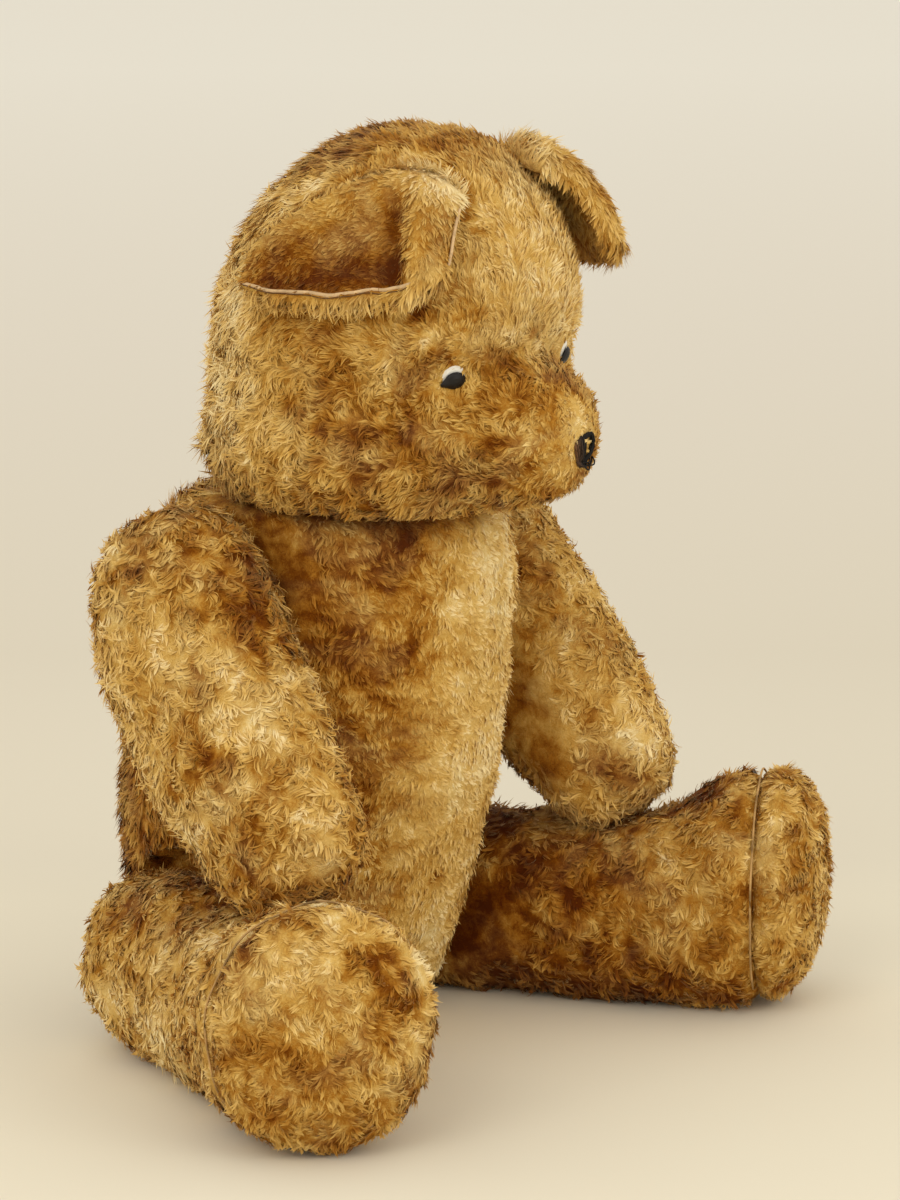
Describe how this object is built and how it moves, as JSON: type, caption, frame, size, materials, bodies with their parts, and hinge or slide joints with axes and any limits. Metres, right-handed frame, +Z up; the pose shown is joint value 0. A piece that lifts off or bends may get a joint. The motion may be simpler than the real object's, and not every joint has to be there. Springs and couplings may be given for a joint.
{
  "type": "teddy bear",
  "caption": "Threadbare jointed teddy bear sitting with spread legs: stuffed plush head, body, arms and legs on disc joints, folded ears, button eyes and a stitched nose.",
  "frame": {"origin": "on the floor, in the flat of the seat under the body, midway between the legs", "axes": "+Z up, the bear faces -Y, its own left side is +X"},
  "size_m": [0.3958, 0.2688, 0.4137],
  "materials": {
    "plush": "matted, dusty golden-brown pile",
    "worn_plush": "short worn pile",
    "cardboard": "plain pressed board",
    "steel": "dull wire and sheet",
    "eye_white": "aged off-white",
    "eye_black": "scuffed black",
    "thread": "worn embroidery thread"
  },
  "bodies": {
    "body": {"torso": "plush", "neck_body_disc": "cardboard", "neck_body_washer": "steel", "neck_split_pin": "steel", "shoulder_left_body_disc": "cardboard", "shoulder_left_body_washer": "steel", "shoulder_left_split_pin": "steel", "shoulder_right_body_disc": "cardboard", "shoulder_right_body_washer": "steel", "shoulder_right_split_pin": "steel", "hip_left_body_disc": "cardboard", "hip_left_body_washer": "steel", "hip_left_split_pin": "steel", "hip_right_body_disc": "cardboard", "hip_right_body_washer": "steel", "hip_right_split_pin": "steel"},
    "head": {"head": "plush", "ear_left": "worn_plush", "ear_right": "worn_plush", "eye_white_left": "eye_white", "eye_white_right": "eye_white", "eye_button_left": "eye_black", "eye_button_right": "eye_black", "nose_stitching": "thread", "neck_head_disc": "cardboard", "neck_head_washer": "steel"},
    "arm_left": {"arm_left": "plush", "shoulder_left_arm_disc": "cardboard", "shoulder_left_arm_washer": "steel"},
    "arm_right": {"arm_right": "plush", "shoulder_right_arm_disc": "cardboard", "shoulder_right_arm_washer": "steel"},
    "leg_left": {"leg_left": "plush", "sole_left": "plush", "hip_left_leg_disc": "cardboard", "hip_left_leg_washer": "steel"},
    "leg_right": {"leg_right": "plush", "sole_right": "plush", "hip_right_leg_disc": "cardboard", "hip_right_leg_washer": "steel"}
  },
  "joints": [
    {"name": "neck", "type": "hinge", "parent": "body", "child": "head", "pos_m": [0, -0.044, 0.248], "axis": [0, 0, 1], "continuous": true},
    {"name": "shoulder_left", "type": "hinge", "parent": "body", "child": "arm_left", "pos_m": [0.068, -0.006, 0.203], "axis": [0.9925, 0, 0.1219], "range_deg": [-55, 0]},
    {"name": "shoulder_right", "type": "hinge", "parent": "body", "child": "arm_right", "pos_m": [-0.068, -0.006, 0.203], "axis": [-0.9925, 0, 0.1219], "range_deg": [0, 55]},
    {"name": "hip_left", "type": "hinge", "parent": "body", "child": "leg_left", "pos_m": [0.06, 0.004, 0.042], "axis": [0.9945, 0.1045, 0], "range_deg": [0, 90]},
    {"name": "hip_right", "type": "hinge", "parent": "body", "child": "leg_right", "pos_m": [-0.06, 0.004, 0.042], "axis": [-0.9945, 0.1045, 0], "range_deg": [-90, 0]}
  ]
}
